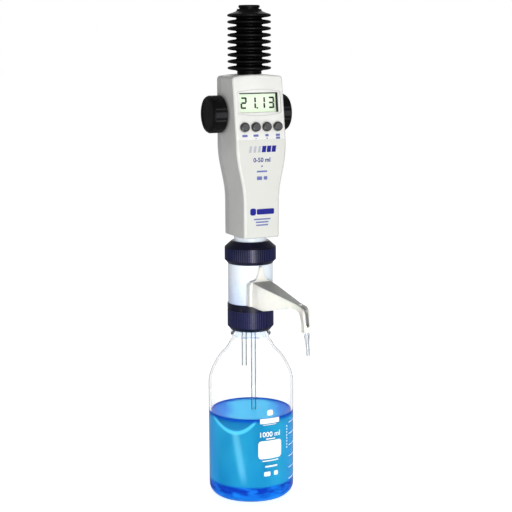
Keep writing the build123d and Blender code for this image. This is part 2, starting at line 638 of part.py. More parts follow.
plates = [block(x, x + 2, -9.0, 20.9, 424.0, 466.0) for x in (-11.0, 9.0)]
back = block(-11.0, 11.0, 18.5, 20.9, 424.0, 466.0)
chassis = back + plates
chassis = chassis - rod_x(SHAFT_INNER_R + 0.05, -12, 12, SHAFT_Y, SHAFT_Z)
chassis = chassis - rod_x(LAY_R + 0.05, -12, 12, SHAFT_Y, LAY_Z)
save("gear_chassis", chassis)
guide = block(-9.0, 9.0, -8.5, ROD_Y - 0.05, 428.0, 462.0)
guide = guide + [block(x, x + 3.9, -8.5, 0.8, 428.0, 462.0) for x in (-9.0, 5.1)]
save("rack_guide", guide)

# ---------------------------------------------------------------- bellows

pitch_z = (HIGH_FOLD_Z - LOW_FOLD_Z) / (FOLDS - 1)
skin_out = [(10.6, BELLOWS_Z), (14.2, BELLOWS_Z), (14.2, BELLOWS_Z + 1.8), (13.2, BELLOWS_Z + 2.4)]
skin_in = []
for i in range(FOLDS):
    z = LOW_FOLD_Z + i * pitch_z
    half = pitch_z / 2 - 0.35
    skin_out += [(VALLEY_R, z - half), (20.5, z - 1.9), (24.4, z - 0.9), (FOLD_R, z)]
    skin_out += [(24.4, z + 0.9), (20.5, z + 1.9), (VALLEY_R, z + half)]
    skin_in += [(VALLEY_R - 1.0, z - half), (23.6, z - 0.1), (23.6, z + 0.1), (VALLEY_R - 1.0, z + half)]
skin_out += [(13.4, BELLOWS_TOP - 2.6), (14.2, BELLOWS_TOP - 2.0), (14.2, BELLOWS_TOP), (9.05, BELLOWS_TOP)]
skin_in = [(10.6, BELLOWS_Z + 2.4), (12.4, BELLOWS_Z + 2.6)] + skin_in + [(9.05, BELLOWS_TOP - 2.6)]
save("bellows", turned(skin_out + list(reversed(skin_in))))
save("bellows_cap", turned([
    (0, BELLOWS_TOP - 5), (9.0, BELLOWS_TOP - 5), (9.0, BELLOWS_TOP), (11.2, BELLOWS_TOP), (11.2, 574.4),
    (CAP_R, 574.9), (CAP_R, CAP_TOP - 0.9), (CAP_R - 0.9, CAP_TOP), (0, CAP_TOP)])
    - block(-ROD_X, ROD_X, ROD_Y, RACK_LINE_Y - 1.25, 560, ROD_TOP))
save("bellows_clamp", turned([
    (9.4, 494.2), (13.8, 494.2), (13.8, 496.7), (11.4, 496.7), (11.4, BELLOWS_Z), (10.55, BELLOWS_Z),
    (10.55, BELLOWS_Z + 2.3), (9.4, BELLOWS_Z + 2.3)]))
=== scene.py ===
import bpy
from math import cos, pi, radians, sin, tan
from mathutils import Matrix, Vector
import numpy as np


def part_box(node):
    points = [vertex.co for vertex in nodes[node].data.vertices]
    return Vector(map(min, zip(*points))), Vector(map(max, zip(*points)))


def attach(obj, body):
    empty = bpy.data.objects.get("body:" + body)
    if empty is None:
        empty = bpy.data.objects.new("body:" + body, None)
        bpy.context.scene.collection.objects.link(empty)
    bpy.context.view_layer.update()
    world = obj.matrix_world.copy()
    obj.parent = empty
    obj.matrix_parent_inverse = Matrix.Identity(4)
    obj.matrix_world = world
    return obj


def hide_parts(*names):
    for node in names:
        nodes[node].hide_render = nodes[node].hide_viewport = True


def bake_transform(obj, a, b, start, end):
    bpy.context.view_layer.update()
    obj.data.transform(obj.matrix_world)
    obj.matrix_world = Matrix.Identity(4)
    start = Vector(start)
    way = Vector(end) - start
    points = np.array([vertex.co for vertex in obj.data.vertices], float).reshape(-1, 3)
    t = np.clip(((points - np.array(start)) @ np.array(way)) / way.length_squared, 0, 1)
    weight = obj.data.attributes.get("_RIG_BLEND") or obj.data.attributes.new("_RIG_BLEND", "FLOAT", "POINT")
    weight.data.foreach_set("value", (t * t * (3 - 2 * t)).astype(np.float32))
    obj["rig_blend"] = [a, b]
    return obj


MM = 0.001

# Shape values shared with the CAD model, in millimetres
BOTTLE_R = 50.5
BOTTLE_WALL = 2.3
HEEL_R = 13.0
LEAN = 7.5
LEAN_Z = 424.0
FACE_Y = -32.5
BUTTON_Z = 441.0
BUTTON_PITCH = 13.8
LCD_Z = 468.5
LCD_W = 48.0
LCD_H = 22.5
SHADED_FRONT_TOP_Z = 427.0
FOLDS = 9
FOLD_R = 25.0
VALLEY_R = 14.6
LOW_FOLD_Z = 506.8
HIGH_FOLD_Z = 566.2
SHAFT_Y = 8.5
SHAFT_Z = 454.5

# Ends of the bellows' stretch, and heights where the tones of the glass and the valve block change
STRETCH_LOW_Z = 503.5
STRETCH_HIGH_Z = 569.5
BOTTLE_TINT_Z = 192.5
BLOCK_LOW_Z = 236.0
BLOCK_HIGH_Z = 270.0

# Thickness of the prints, and their gaps from the glass and from the housing
PRINT_THICK = 0.08
GLASS_GAP = 0.04
HOUSING_GAP = 0.03

# Radius just under the crests of each set of grip ribs, where their painted highlights begin, and the
# heights that the ribs of the nuts keep to
KNOB_CREST_R = 21.35
MOUNT_CREST_R = 27.2
MOUNT_RIBS_TOP_Z = 225.3
COUPLING_CREST_R = 30.1
COUPLING_RIBS_LOW_Z = 284.9
COUPLING_RIBS_TOP_Z = 299.1

# Camera
VIEW_AZIMUTH = -25.4
VIEW_ELEVATION = 9.5
VIEW_DISTANCE = 1.527
VIEW_ROLL = -0.25
AIM_Z = 0.288
AIM_SHIFT = 0.0067
LENS = 91.4

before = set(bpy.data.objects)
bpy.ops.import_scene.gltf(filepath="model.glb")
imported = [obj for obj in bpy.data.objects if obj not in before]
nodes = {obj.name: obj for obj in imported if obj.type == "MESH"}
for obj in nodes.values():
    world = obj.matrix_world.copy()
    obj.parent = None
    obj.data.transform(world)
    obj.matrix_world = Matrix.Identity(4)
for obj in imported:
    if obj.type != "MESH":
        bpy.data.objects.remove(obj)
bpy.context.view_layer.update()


# ---------------------------------------------------------------- materials

def srgb(r, g, b):
    """Linear colour from 0-255 display values."""
    def one(v):
        v = v / 255
        return v / 12.92 if v <= 0.04045 else ((v + 0.055) / 1.055) ** 2.4
    return (one(r), one(g), one(b), 1.0)


class Shader:
    """A Principled material with helpers for its procedural detail."""

    def __init__(self, name, colour, roughness=0.5, **inputs):
        self.mat = bpy.data.materials.new(name)
        self.mat.use_nodes = True
        self.tree = self.mat.node_tree
        self.bsdf = self.tree.nodes["Principled BSDF"]
        self.bsdf.inputs["Base Color"].default_value = colour
        self.bsdf.inputs["Roughness"].default_value = roughness
        for key, value in inputs.items():
            self.bsdf.inputs[key.replace("_", " ")].default_value = value
        self.colour = colour
        self.coords = self.node("ShaderNodeTexCoord").outputs["Object"]

    def node(self, kind, **values):
        made = self.tree.nodes.new(kind)
        for key, value in values.items():
            setattr(made, key, value)
        return made

    def link(self, a, b):
        self.tree.links.new(a, b)

    def noise(self, scale, detail=3.0, stretch=(1, 1, 1)):
        mapping = self.node("ShaderNodeMapping")
        mapping.inputs["Scale"].default_value = stretch
        self.link(self.coords, mapping.inputs["Vector"])
        tex = self.node("ShaderNodeTexNoise")
        tex.inputs["Scale"].default_value = scale
        tex.inputs["Detail"].default_value = detail
        self.link(mapping.outputs["Vector"], tex.inputs["Vector"])
        return tex.outputs["Fac"]

    def ramp(self, value, low, high, a=0.0, b=1.0):
        node = self.node("ShaderNodeMapRange")
        node.inputs["From Min"].default_value = low
        node.inputs["From Max"].default_value = high
        node.inputs["To Min"].default_value = a
        node.inputs["To Max"].default_value = b
        self.link(value, node.inputs["Value"])
        return node.outputs["Result"]

    def mix(self, factor, a, b):
        node = self.node("ShaderNodeMix", data_type="RGBA")
        for socket, value in ((node.inputs[6], a), (node.inputs[7], b)):
            if isinstance(value, (tuple, list)):
                socket.default_value = value
            else:
                self.link(value, socket)
        self.link(factor, node.inputs[0])
        return node.outputs[2]

    def do(self, operation, a, b=0.0, c=0.0):
        """Arithmetic on sockets or plain numbers."""
        node = self.node("ShaderNodeMath", operation=operation)
        for socket, value in zip(node.inputs, (a, b, c)):
            if isinstance(value, (int, float)):
                socket.default_value = value
            else:
                self.link(value, socket)
        return node.outputs[0]

    def length(self, a, b):
        return self.do("SQRT", self.do("ADD", self.do("MULTIPLY", a, a), self.do("MULTIPLY", b, b)))

    def band(self, distance, half, soft):
        """1 inside the half width, falling to 0 over the soft edge."""
        return self.ramp(self.do("ABSOLUTE", distance), half + soft, half)

    def below(self, value, edge):
        """1 under an edge and 0 over it, changing over 0.2 mm."""
        return self.ramp(value, edge + 0.1 * MM, edge - 0.1 * MM)

    def above(self, value, edge):
        """0 under an edge and 1 over it, changing over 0.2 mm."""
        return self.ramp(value, edge - 0.1 * MM, edge + 0.1 * MM)

    def split(self, vector):
        """The three parts of a vector."""
        node = self.node("ShaderNodeSeparateXYZ")
        self.link(vector, node.inputs["Vector"])
        return node.outputs["X"], node.outputs["Y"], node.outputs["Z"]

    def place(self):
        """Where the shaded point is, in the frame's metres."""
        return self.split(self.coords)

    def normal(self):
        return self.node("ShaderNodeNewGeometry").outputs["Normal"]

    def tone(self):
        """The socket that gives the base colour so far."""
        return self.bsdf.inputs["Base Color"].links[0].from_socket

    def set_colour(self, socket):
        self.link(socket, self.bsdf.inputs["Base Color"])

    def vary(self, other, scale=60.0, low=0.35, high=0.7, detail=4.0):
        """Soft colour variation towards another colour."""
        self.set_colour(self.mix(self.ramp(self.noise(scale, detail), low, high), self.colour, other))
        return self

    def corners(self, reach=0.007, keep=0.62):
        """Painted shade: darker tone in corners and gaps, where less light reaches."""
        base = self.tone()
        shade = self.node("ShaderNodeAmbientOcclusion", samples=8)
        shade.inputs["Distance"].default_value = reach
        dark = tuple(keep * c for c in self.colour[:3]) + (1.0,)
        self.set_colour(self.mix(self.ramp(shade.outputs["AO"], 0.25, 0.85), dark, base))
        return self

    def wear(self, scale, low, high):
        """Roughness that changes over the surface."""
        self.link(self.ramp(self.noise(scale, 5.0), 0.3, 0.7, low, high), self.bsdf.inputs["Roughness"])
        return self

    def bump(self, scale, strength, distance=0.0002, stretch=(1, 1, 1)):
        node = self.node("ShaderNodeBump")
        node.inputs["Strength"].default_value = strength
        node.inputs["Distance"].default_value = distance
        self.link(self.noise(scale, 4.0, stretch), node.inputs["Height"])
        self.link(node.outputs["Normal"], self.bsdf.inputs["Normal"])
        return self


def clear(name, colour, edge, low=0.8, high=0.97, roughness=0.02, ior=1.47):
    """Clear glass or plastic with a faint tone change; its rim, seen edge-on, gets painted shade, darker and
    less clear.
    """
    made = Shader(name, colour, roughness, Transmission_Weight=1.0, IOR=ior)
    made.vary(tuple(0.98 * c for c in colour[:3]) + (1.0,), 20.0)
    facing = made.node("ShaderNodeLayerWeight").outputs["Facing"]
    # Painted shade at the rim seen edge-on
    made.set_colour(made.mix(made.ramp(facing, low, high), made.tone(), edge))
    made.link(made.ramp(facing, low, high, 1.0, 0.35), made.bsdf.inputs["Transmission Weight"])
    return made


def moulded(name, rgb, darker, roughness, grain=2600.0, strength=0.12, **inputs):
    """Moulded plastic with a fine grain, faint tone changes and painted shade in its corners and gaps."""
    made = Shader(name, srgb(*rgb), roughness, **inputs)
    made.vary(srgb(*darker), 35.0)
    # Painted shade in corners and gaps
    made.corners()
    made.wear(90.0, roughness - 0.05, roughness + 0.08)
    made.bump(grain, strength, 0.00008)
    return made


def metal(name, rgb, roughness):
    """Brushed metal."""
    made = Shader(name, srgb(*rgb), roughness, Metallic=1.0)
    made.wear(200.0, roughness - 0.08, roughness + 0.1)
    made.bump(700.0, 0.1, 0.00005, (6, 1, 1))
    return made


def bottle_glass():
    """Thin clear glass, tinted blue from the bead of the neck up."""
    made = clear("bottle_glass", (0.985, 0.99, 0.995, 1.0), (0.36, 0.39, 0.43, 1.0), 0.78, 0.94, 0.01, 1.14)
    z = made.place()[2]
    tint = made.ramp(z, (BOTTLE_TINT_Z - 0.5) * MM, (BOTTLE_TINT_Z + 0.5) * MM, 0.0, 0.35)
    made.set_colour(made.mix(tint, made.tone(), srgb(176, 208, 244)))
    return made


def liquid_body_tone(made, across, z):
    """Side of the liquid: cloudy blue, with painted light and shade: lighter sides, a bright bow with shade
    above it, a shaft of light, and a deep band of shade and rippled light at its foot, with a highlight
    along its very bottom.

    Lengths here and in the liquid's surface are in metres, as the sockets are.
    """
    cloud = made.noise(26.0, 5.0, (1, 1, 0.5))
    body = made.mix(made.ramp(cloud, 0.35, 0.7), srgb(20, 128, 178), srgb(44, 162, 202))
    # Painted light: the sides are lighter and bluer
    edge = made.ramp(made.do("ABSOLUTE", across), 0.036, 0.049)
    body = made.mix(edge, body, srgb(50, 146, 212))

    # Painted highlight in a crescent along the bow, with painted shade above it
    bow_x, bow_low, bow_bend, bow_half = -0.019, 0.0864, 23.3, 0.024
    from_bow = made.do("ADD", across, -bow_x)
    bow_z = made.do("MULTIPLY_ADD", made.do("MULTIPLY", from_bow, from_bow), bow_bend, bow_low)
    over_bow = made.do("SUBTRACT", z, bow_z)
    bow_highlight = made.band(over_bow, 0.0012, 0.0022)
    above = made.ramp(over_bow, 0.0, 0.002)
    near_bow = made.band(from_bow, bow_half, 0.003)
    body = made.mix(made.do("MULTIPLY", above, near_bow), body, srgb(26, 120, 176))
    body = made.mix(made.do("MULTIPLY", bow_highlight, near_bow), body, srgb(84, 204, 244))

    # Painted shaft of light running down the middle
    shaft_x, shaft_lean, shaft_half = 0.0045, 0.16, 0.0016
    lean = made.do("MULTIPLY_ADD", z, shaft_lean, shaft_x)
    shaft = made.band(made.do("ADD", across, lean), shaft_half, 0.004)
    shaft = made.do("MULTIPLY", shaft, made.ramp(z, 0.022, 0.040))
    shaft = made.do("MULTIPLY", shaft, made.ramp(z, 0.0885, 0.0855))
    body = made.mix(made.do("MULTIPLY", shaft, 0.45), body, srgb(120, 214, 240))

    # Painted shade at the foot, with rippled painted light in it and a painted highlight along the very
    # bottom
    ripple = made.noise(60.0, 6.0, (1, 1, 2.5))
    foot = made.mix(made.ramp(ripple, 0.42, 0.64), srgb(8, 50, 168), srgb(24, 126, 226))
    foot = made.mix(made.ramp(z, 0.012, 0.002), foot, srgb(22, 124, 214))
    foot_top = made.do("MULTIPLY_ADD", ripple, 0.004, 0.0185)
    return made.mix(made.ramp(made.do("SUBTRACT", z, foot_top), 0.0012, -0.0012), body, foot)


def liquid_top_tone(made, across, radius):
    """Surface of the liquid: a painted reflection makes it pale in the middle and bluer at the sides, and
    painted shade gives it a deep ring at the glass.
    """
    swirl = made.noise(34.0, 5.0)
    # Painted reflection, pale in the middle
    middle = made.ramp(made.do("ABSOLUTE", made.do("ADD", across, -0.002)), 0.036, 0.006)
    pale = made.ramp(made.do("ADD", middle, swirl), 0.62, 1.1)
    top = made.mix(pale, srgb(10, 126, 230), srgb(60, 190, 240))
    # Painted shade in a ring at the glass
    return made.mix(made.ramp(radius, 0.039, 0.048), top, srgb(10, 84, 208))


def blue_liquid():
    """Blue liquid with a faint painted glow. Its tones, painted light and shade, run across the main
    camera's view.
    """
    made = Shader("blue_liquid", srgb(40, 160, 222), 0.04, Transmission_Weight=0.15, IOR=1.12,
                  Specular_IOR_Level=0.06, Emission_Strength=0.22)
    x, y, z = made.place()
    view = radians(VIEW_AZIMUTH)
    across = made.do("ADD", made.do("MULTIPLY", x, cos(view)), made.do("MULTIPLY", y, sin(view)))
    up = made.split(made.normal())[2]
    body = liquid_body_tone(made, across, z)
    top = liquid_top_tone(made, across, made.length(x, y))
    tone = made.mix(made.ramp(up, 0.6, 0.9), body, top)
    made.set_colour(tone)
    # Painted glow: the tones also feed the emission
    made.link(tone, made.bsdf.inputs["Emission Color"])
    return made


def white_shell():
    """Head shell: painted shade makes the upright front below the buttons a little greyer, and darkens the
    shell's own edges.
    """
    made = moulded("white_shell", (250, 250, 246), (243, 243, 239), 0.36)
    y, z = made.place()[1:]
    front = made.do("LESS_THAN", y, (FACE_Y + 0.8) * MM)
    low = made.do("LESS_THAN", z, SHADED_FRONT_TOP_Z * MM)
    # Painted shade along the shell's own edges
    made.corners(0.0035, 0.5)
    # Painted shade on the upright front below its top edge, which gets less light than the leaning part
    made.set_colour(made.mix(made.do("MULTIPLY", front, low), made.tone(), srgb(232, 233, 227)))
    return made


def block_plastic():
    """Milky plastic of the valve block, bluer towards its foot, with a faint painted glow and painted shade
    round its flange and in its corners.
    """
    # The emission is a painted glow that brightens the block
    made = Shader("block_white", srgb(247, 250, 254), 0.34, Subsurface_Weight=0.25, Subsurface_Scale=0.004,
                  Emission_Color=srgb(220, 236, 255), Emission_Strength=0.19)
    z = made.place()[2]
    height = made.ramp(z, BLOCK_LOW_Z * MM, BLOCK_HIGH_Z * MM)
    made.set_colour(made.mix(height, srgb(206, 219, 248), srgb(240, 246, 253)))
    # Painted shade round the flange and in the corners
    made.corners(0.010, 0.6)
    made.bump(900.0, 0.08)
    return made


def arm_plastic():
    """Off-white plastic of the nozzle arm, with painted shade where it faces up."""
    made = moulded("arm_white", (252, 251, 244), (247, 246, 238), 0.42)
    up = made.split(made.normal())[2]
    # Painted shade on the faces that turn up
    made.set_colour(made.mix(made.ramp(up, 0.5, 0.85), made.tone(), srgb(156, 158, 152)))
    return made


def paint_crest_highlights(made, radius, crest_r, tone, limits=()):
    """Painted highlight: lighter tone on grip ribs beyond a radius; each limit is a 0-1 socket that narrows
    where.
    """
    base = made.tone()
    crest = made.ramp(radius, (crest_r - 0.2) * MM, crest_r * MM)
    for limit in limits:
        crest = made.do("MULTIPLY", crest, limit)
    made.set_colour(made.mix(crest, base, tone))


def navy_plastic():
    """Navy plastic of the two nuts, with painted highlights on the crests of their ribs."""
    made = moulded("navy_plastic", (9, 10, 40), (7, 8, 32), 0.32, 1800.0, 0.12, Specular_IOR_Level=0.24)
    crest_highlight = srgb(48, 51, 96)
    x, y, z = made.place()
    radius = made.length(x, y)
    mount_ribs = [made.below(z, MOUNT_RIBS_TOP_Z * MM)]
    paint_crest_highlights(made, radius, MOUNT_CREST_R, crest_highlight, mount_ribs)
    coupling_ribs = [made.above(z, COUPLING_RIBS_LOW_Z * MM), made.below(z, COUPLING_RIBS_TOP_Z * MM)]
    paint_crest_highlights(made, radius, COUPLING_CREST_R, crest_highlight, coupling_ribs)
    return made


def knob_plastic():
    """Black plastic of the handwheels, with painted highlights on the crests of their ribs."""
    made = moulded("knob_black", (3, 3, 4), (6, 6, 7), 0.44, 2200.0, 0.2, Specular_IOR_Level=0.18)
    y, z = made.place()[1:]
    radius = made.length(made.do("ADD", y, -SHAFT_Y * MM), made.do("ADD", z, -SHAFT_Z * MM))
    paint_crest_highlights(made, radius, KNOB_CREST_R, srgb(44, 44, 46))
    return made


def button_rubber():
    """Grey button: painted shade makes its sides darker than its face."""
    made = moulded("button_grey", (92, 92, 95), (84, 84, 87), 0.38, 1800.0, 0.15)
    face_tone = made.tone()
    facing = made.node("ShaderNodeVectorMath", operation="DOT_PRODUCT")
    facing.inputs[1].default_value = (0, -cos(radians(LEAN)), sin(radians(LEAN)))
    made.link(made.normal(), facing.inputs[0])
    # Painted shade on the sides, which turn away from the front
    made.set_colour(made.mix(made.ramp(facing.outputs["Value"], 0.95, 0.985), srgb(20, 20, 22), face_tone))
    return made


glass = bottle_glass()
inner_glass = clear("cylinder_glass", (0.96, 0.98, 0.99, 1.0), (0.6, 0.63, 0.66, 1.0))
tube_clear = clear("clear_tube", (0.95, 0.97, 0.98, 1.0), (0.06, 0.065, 0.07, 1.0), 0.36, 0.5, 0.02, 1.2)
tip_clear = clear("clear_tip", (0.84, 0.86, 0.89, 1.0), (0.10, 0.11, 0.13, 1.0), 0.2, 0.55, 0.06, 1.35)
window = clear("window", (0.96, 0.985, 0.97, 1.0), (0.8, 0.83, 0.8, 1.0), 0.9, 1.0, 0.01, 1.10)
liquid = blue_liquid()
shell = white_shell()
rear_shell = moulded("rear_shell", (236, 237, 235), (228, 229, 228), 0.4)
block_white = block_plastic()
arm_white = arm_plastic()
navy = navy_plastic()
knob_black = knob_plastic()
button_grey = button_rubber()
rubber = Shader("bellows_rubber", srgb(4, 4, 5), 0.46, Specular_IOR_Level=0.16)
rubber.vary(srgb(9, 9, 10), 40.0).bump(1500.0, 0.2, 0.0001)
seal = moulded("seal_rubber", (28, 28, 30), (40, 40, 42), 0.6)
tube_grey = moulded("grey_tube", (150, 152, 154), (128, 130, 134), 0.35)
ceramic = moulded("ceramic", (236, 234, 226), (226, 224, 216), 0.12, 3000.0, 0.02)
# Display with a faint painted glow that keeps it pale
lcd = Shader("lcd_glass", srgb(238, 250, 226), 0.25,
             Emission_Color=srgb(238, 252, 230), Emission_Strength=0.12)
lcd.vary(srgb(232, 246, 218), 30.0)
lcd_dark = moulded("lcd_segment", (3, 4, 5), (6, 8, 9), 0.6)
display_black = moulded("display_black", (20, 26, 24), (30, 36, 34), 0.35)
acetal = moulded("acetal", (226, 224, 214), (218, 216, 205), 0.4)
board = moulded("board_green", (22, 92, 46), (16, 74, 36), 0.4)
cell = moulded("cell_jacket", (54, 60, 70), (44, 50, 60), 0.3)
tray_black = moulded("tray_black", (24, 24, 26), (32, 32, 34), 0.5)
steel = metal("steel", (176, 178, 182), 0.3)
brass = metal("brass", (206, 172, 92), 0.3)
print_blue = moulded("print_blue", (6, 14, 150), (4, 10, 136), 0.4)
print_soft = moulded("print_soft_blue", (110, 120, 186), (98, 108, 176), 0.4)
print_pale = moulded("print_pale", (196, 198, 208), (188, 190, 202), 0.4)
# White print with a faint painted glow that keeps it bright
print_white = Shader("print_white", srgb(250, 251, 252), 0.4,
                     Emission_Color=(1, 1, 1, 1), Emission_Strength=0.2)
print_white.vary(srgb(240, 242, 245), 200.0).bump(900.0, 0.05)

LOOKS = {
    "bottle": glass, "valve_block": block_white, "bottle_seal": seal, "filling_tube": tube_clear,
    "return_tube": tube_clear, "cylinder_seal": seal, "nozzle_arm": arm_white, "discharge_tube": tube_grey,
    "discharge_tip": tip_clear, "inlet_ball": ceramic, "outlet_ball": ceramic, "mounting_nut": navy,
    "coupling_nut": navy, "front_housing": shell, "rear_housing": rear_shell, "neck_sleeve": block_white,
    "glass_cylinder": inner_glass, "cylinder_cap": acetal, "display_window": window, "display_module": lcd,
    "display_digits": lcd_dark, "circuit_board": board, "batteries": cell, "battery_tray": tray_black,
    "battery_contacts": steel, "battery_cover": rear_shell, "housing_screws": steel, "left_bush": acetal,
    "right_bush": acetal, "gear_chassis": steel, "rack_guide": acetal, "bellows_clamp": tray_black,
    "bellows_cap": rubber, "left_handwheel": knob_black, "right_handwheel": knob_black,
    "handwheel_shaft": steel, "shaft_pinion": steel, "drive_gear": brass, "rack_pinion": steel,
    "layshaft": steel, "rack_rod": acetal, "piston": block_white, "piston_seal": seal,
    "view_button": button_grey, "minus_button": button_grey, "plus_button": button_grey,
    "reset_button": button_grey,
}
for name, look in LOOKS.items():
    slots = nodes[name].data.materials
    slots.clear()
    slots.append(look.mat)


# ---------------------------------------------------------------- mesh helpers

def add_object(name, verts, faces, look, smooth=False):
    mesh = bpy.data.meshes.new(name)
    mesh.from_pydata([tuple(c * MM for c in v) for v in verts], [], faces)
    mesh.validate()
    mesh.materials.append(look.mat)
    if smooth:
        mesh.polygons.foreach_set("use_smooth", [True] * len(mesh.polygons))
    mesh.update()
    made = bpy.data.objects.new(name, mesh)
    bpy.context.scene.collection.objects.link(made)
    return made


def ring(radius, z, count):
    angles = [2 * pi * i / count for i in range(count)]
    return [(radius * cos(angle), radius * sin(angle), z) for angle in angles]


def spun(name, profile, look, segments=96):
    """Closed ring of (radius, z) points turned about Z. Points at radius 0 become single poles."""
    verts, rows = [], []
    for r, z in profile:
        if r < 1e-6:
            rows.append([len(verts)] * segments)
            verts.append((0, 0, z))
        else:
            rows.append(list(range(len(verts), len(verts) + segments)))
            verts += ring(r, z, segments)
    faces = []
    count = len(rows)
    closed = profile[0][0] > 1e-6
    for k in range(count if closed else count - 1):
        a, b = rows[k], rows[(k + 1) % count]
        for i in range(segments):
            j = (i + 1) % segments
            face = [a[i], a[j], b[j], b[i]]
            face = [v for n, v in enumerate(face) if v != face[n - 1]]
            if len(face) > 2:
                faces.append(face)
    return add_object(name, verts, faces, look, smooth=True)


def arc(cx, cz, radius, start, end, steps):
    """Points on an arc, from one angle to another in degrees."""
    angles = [radians(start + (end - start) * i / steps) for i in range(steps + 1)]
    return [(cx + radius * cos(angle), cz + radius * sin(angle)) for angle in angles]


# ---------------------------------------------------------------- bellows

FOLD_TIP_R = 1.45

# Sides of a fold as (radius, distance from the fold's middle plane), from the valley out to the tip
FLANK = [(VALLEY_R + 0.5, 3.0), (VALLEY_R + 1.4, 2.75), (18.5, 2.45), (21.5, 2.05)]
TOP_FLANK = [(14.4, 5.2), (15.6, 4.3), (18.0, 3.3), (21.5, 2.3)]


def bellows_profile():
    """Closed outline of the bellows wall: up the outside, fold by fold, and down the inside."""
    low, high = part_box("bellows")
    bottom, top = low.z / MM, high.z / MM
    pitch = (HIGH_FOLD_Z - LOW_FOLD_Z) / (FOLDS - 1)
    outer = [(10.6, bottom), (13.7, bottom)] + arc(13.7, bottom + 0.5, 0.5, -90, 0, 3)
    outer += arc(13.5, bottom + 1.7, 0.6, 20, 90, 3)
    inner = [(11.4, bottom + 2.0)]
    for i in range(FOLDS):
        z = LOW_FOLD_Z + i * pitch
        last = i == FOLDS - 1
        outer += [(r, z - away) for r, away in FLANK]
        outer += arc(FOLD_R - FOLD_TIP_R, z, FOLD_TIP_R, -68, 68, 8)
        outer += [(r, z + away) for r, away in reversed(TOP_FLANK if last else FLANK)]
        inner += [(VALLEY_R - 0.2, z - 2.6), (19.5, z - 1.2), (23.2, z), (19.5, z + 1.2)]
        inner += [(VALLEY_R - 0.2, z + 2.6)]
        if not last:
            outer += [(VALLEY_R, z + pitch / 2)]
            inner += [(VALLEY_R - 0.9, z + pitch / 2)]
    outer += arc(13.4, top - 0.7, 0.7, 0, 90, 4)
    outer += [(9.05, top)]
    inner += [(9.05, top - 2.8)]
    return outer + list(reversed(inner))


bellows = spun("bellows_skin", bellows_profile(), rubber)
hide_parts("bellows")
stretch_low, stretch_high = STRETCH_LOW_Z * MM, STRETCH_HIGH_Z * MM
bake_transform(bellows, "head", "plunger", start=(0, 0, stretch_low), end=(0, 0, stretch_high))

# An even ramp between the two ends, so that every fold keeps its shape and opens by the same amount
weights = bellows.data.attributes["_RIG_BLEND"].data
for vertex, weight in zip(bellows.data.vertices, weights):
    weight.value = min(max((vertex.co.z - stretch_low) / (stretch_high - stretch_low), 0.0), 1.0)


# ---------------------------------------------------------------- liquid

def liquid_profile():
    """Outline of the liquid: it fills the inside of the glass and climbs a little at the edge."""
    low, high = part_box("reagent")
    wall = BOTTLE_R - BOTTLE_WALL + 0.12
    base = low.z / MM - 0.1
    level = high.z / MM
    heel = HEEL_R - BOTTLE_WALL
    points = [(0, base + 1.8), (15, base + 1.8), (30, base + 1.7), (wall - heel, base)]
    points += arc(wall - heel, base + heel, heel, -90, 0, 10)[1:]
    points += [(wall, level - 10), (wall, level + 1.4), (wall - 0.5, level + 0.7), (wall - 1.6, level + 0.2)]
    points += [(wall - 3.5, level), (30, level), (0, level)]
    return points


reagent = spun("liquid_body", liquid_profile(), liquid, 128)
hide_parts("reagent")
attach(reagent, "bottle")


# ---------------------------------------------------------------- flat marks

def rounded(width, height, radius, steps=6):
    """Outline of a rounded rectangle about the origin."""
    points = []
    for sx, sy, start in ((1, 1, 0), (-1, 1, 90), (-1, -1, 180), (1, -1, 270)):
        cx, cy = sx * (width / 2 - radius), sy * (height / 2 - radius)
        points += arc(cx, cy, radius, start, start + 90, steps)
    return points


def bar(x, y, width, height, radius=0.3, steps=2):
    """A rounded rectangle as a mark about a point."""
    return (x, y, rounded(width, height, radius, steps))


def slanted(x, y, left, right, half_height=3.6, slant=1.0):
    """A bar that leans to the right, as a mark about a point."""
    foot = [(left, -half_height), (right, -half_height)]
    return (x, y, foot + [(right + slant, half_height), (left + slant, half_height)])


def strips(outline, columns):
    """Cut a convex outline into upright strips: a list of (x, low y, high y)."""
    left, right = min(p[0] for p in outline), max(p[0] for p in outline)
    cuts = {round(p[0], 4) for p in outline}
    cuts |= {round(left + (right - left) * i / columns, 4) for i in range(1, columns)}
    rows = []
    for x in sorted(cuts):
        if rows and x - rows[-1][0] < 0.02:
            continue
        hits = [p[1] for p in outline if abs(p[0] - x) < 0.001]
        for a, b in zip(outline, outline[1:] + outline[:1]):
            if (a[0] - x) * (b[0] - x) < 0:
                hits.append(a[1] + (b[1] - a[1]) * (x - a[0]) / (b[0] - a[0]))
        rows.append((x, min(hits), max(hits)))
    return rows


def curved_slab(outline, place, thick, columns):
    """Thin closed slab that follows a curved surface; place(x, y, height) gives a point in space."""
    rows = strips(outline, columns)
    verts, faces = [], []
    for x, low, high in rows:
        verts += [place(x, low, 0), place(x, high, 0), place(x, low, thick), place(x, high, thick)]
    for i in range(len(rows) - 1):
        a, b = 4 * i, 4 * i + 4
        faces += [(a, a + 1, b + 1, b), (a + 2, b + 2, b + 3, a + 3)]
        faces += [(a, b, b + 2, a + 2), (a + 1, a + 3, b + 3, b + 1)]
    last = 4 * (len(rows) - 1)
    faces += [(0, 2, 3, 1), (last, last + 1, last + 3, last + 2)]
    return verts, faces


def flat_slab(outline, place, thick):
    """Thin closed slab on a flat surface."""
    count = len(outline)
    verts = [place(x, y, 0) for x, y in outline] + [place(x, y, thick) for x, y in outline]
    faces = [tuple(reversed(range(count))), tuple(range(count, 2 * count))]
    faces += [(i, (i + 1) % count, count + (i + 1) % count, count + i) for i in range(count)]
    return verts, faces


